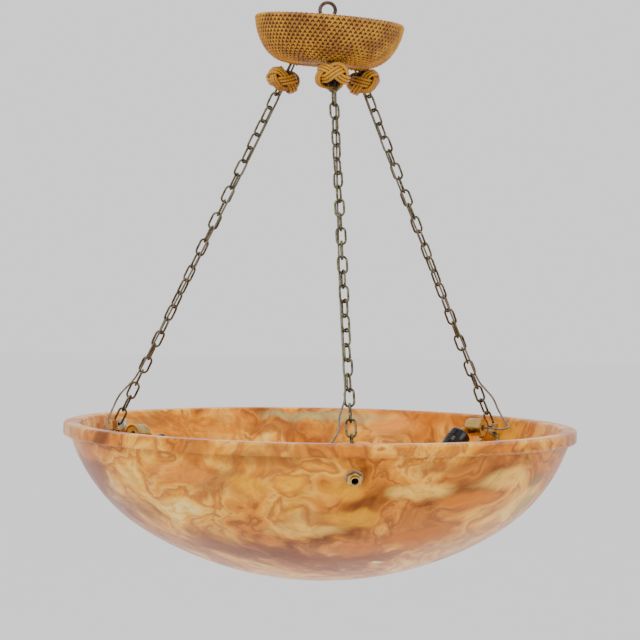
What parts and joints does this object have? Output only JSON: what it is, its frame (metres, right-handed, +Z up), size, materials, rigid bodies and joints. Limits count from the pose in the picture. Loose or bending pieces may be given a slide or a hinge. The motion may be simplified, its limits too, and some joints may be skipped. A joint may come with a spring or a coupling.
{
  "type": "alabaster bowl pendant",
  "caption": "Shallow alabaster bowl hung from three link chains under a knotted-cord canopy, lit by lampholders bracketed inside its rim.",
  "frame": {"origin": "centre of the ceiling ring's hole", "axes": "+Z up along the shank, -Y towards the viewer of the picture, +X to the viewer's right; the ring's hole runs along Y"},
  "size_m": [0.56, 0.56, 0.632],
  "materials": {
    "alabaster": "polished",
    "crochet_cord": "knotted silk cord",
    "aged_iron": "dark brown oxide",
    "bronze_chain": "aged, matt",
    "aged_brass": "worn lacquer",
    "steel": "dull plating",
    "black_bakelite": "moulded",
    "porcelain": "glazed",
    "clear_cord": "clear over tinned copper",
    "bush_plastic": "moulded",
    "gasket_felt": "pressed felt",
    "connector_plastic": "moulded"
  },
  "bodies": {
    "hanger": {"ceiling_eye": "aged_iron", "hanger_spider": "steel", "spider_upper_nut": "steel", "spider_lower_nut": "steel", "canopy_nut": "steel", "chain_hooks": "aged_iron", "hook_nuts": "steel", "terminal_block": "connector_plastic", "supply_cord_front": "clear_cord", "supply_cord_right": "clear_cord", "supply_cord_left": "clear_cord"},
    "canopy": {"canopy_cover": "crochet_cord", "canopy_cup": "steel", "canopy_upper_washer": "steel", "canopy_lower_washer": "steel"},
    "chain_front": {"chain_front": "bronze_chain", "knot_front": "crochet_cord", "lamp_cord_front": "clear_cord"},
    "chain_right": {"chain_right": "bronze_chain", "knot_right": "crochet_cord", "lamp_cord_right": "clear_cord"},
    "chain_left": {"chain_left": "bronze_chain", "knot_left": "crochet_cord", "lamp_cord_left": "clear_cord"},
    "bowl": {"bowl": "alabaster", "outer_gaskets": "gasket_felt", "outer_nuts": "aged_brass", "nipples": "aged_brass", "inner_gaskets": "gasket_felt", "inner_washers": "steel", "inner_nuts": "aged_brass", "cord_bushes": "bush_plastic", "bracket_front": "steel", "lamp_arm_front": "aged_brass", "lamp_cup_front": "aged_brass", "bracket_right": "steel", "lamp_arm_right": "aged_brass", "lamp_cup_right": "aged_brass", "bracket_left": "steel", "lamp_arm_left": "aged_brass", "lamp_cup_left": "aged_brass"},
    "lamp_front": {"knuckle_front": "aged_brass", "lamp_cap_front": "black_bakelite", "lamp_body_front": "black_bakelite", "lamp_base_front": "porcelain", "screw_shell_front": "aged_brass", "centre_contact_front": "aged_brass"},
    "lamp_right": {"knuckle_right": "aged_brass", "lamp_cap_right": "black_bakelite", "lamp_body_right": "black_bakelite", "lamp_base_right": "porcelain", "screw_shell_right": "aged_brass", "centre_contact_right": "aged_brass"},
    "lamp_left": {"knuckle_left": "aged_brass", "lamp_cap_left": "black_bakelite", "lamp_body_left": "black_bakelite", "lamp_base_left": "porcelain", "screw_shell_left": "aged_brass", "centre_contact_left": "aged_brass"}
  },
  "joints": [
    {"name": "bowl_sway", "type": "hinge", "parent": "hanger", "child": "bowl", "pos_m": [0, 0, 0.02563], "axis": [0, 1, 0], "range_deg": [-5, 5]},
    {"name": "chain_swing_front", "type": "hinge", "parent": "hanger", "child": "chain_front", "pos_m": [0.00672, -0.05106, -0.0755], "axis": [0, 1, 0], "range_deg": [-6.4, 6.4]},
    {"name": "chain_swing_right", "type": "hinge", "parent": "hanger", "child": "chain_right", "pos_m": [0.04086, 0.03135, -0.0755], "axis": [0, 1, 0], "range_deg": [-6.4, 6.4]},
    {"name": "chain_swing_left", "type": "hinge", "parent": "hanger", "child": "chain_left", "pos_m": [-0.04758, 0.01971, -0.0755], "axis": [0, 1, 0], "range_deg": [-6.4, 6.4]},
    {"name": "canopy_tilt", "type": "hinge", "parent": "hanger", "child": "canopy", "pos_m": [0, 0, -0.0545], "axis": [0, 1, 0], "range_deg": [-3.6, 0]},
    {"name": "lamp_tilt_front", "type": "hinge", "parent": "bowl", "child": "lamp_front", "pos_m": [0.01828, -0.20014, -0.4705], "axis": [0.9914, 0.1305, 0], "range_deg": [-12, 12]},
    {"name": "lamp_tilt_right", "type": "hinge", "parent": "bowl", "child": "lamp_right", "pos_m": [0.16418, 0.1159, -0.4655], "axis": [-0.6088, 0.7934, 0], "range_deg": [-12, 12]},
    {"name": "lamp_tilt_left", "type": "hinge", "parent": "bowl", "child": "lamp_left", "pos_m": [-0.18859, 0.06946, -0.4755], "axis": [-0.3827, -0.9239, 0], "range_deg": [-12, 12]}
  ],
  "couplings": [
    {"joint": "chain_swing_front", "follows": "bowl_sway", "ratio": 1.2606},
    {"joint": "chain_swing_right", "follows": "bowl_sway", "ratio": 1.2606},
    {"joint": "chain_swing_left", "follows": "bowl_sway", "ratio": 1.2606}
  ]
}
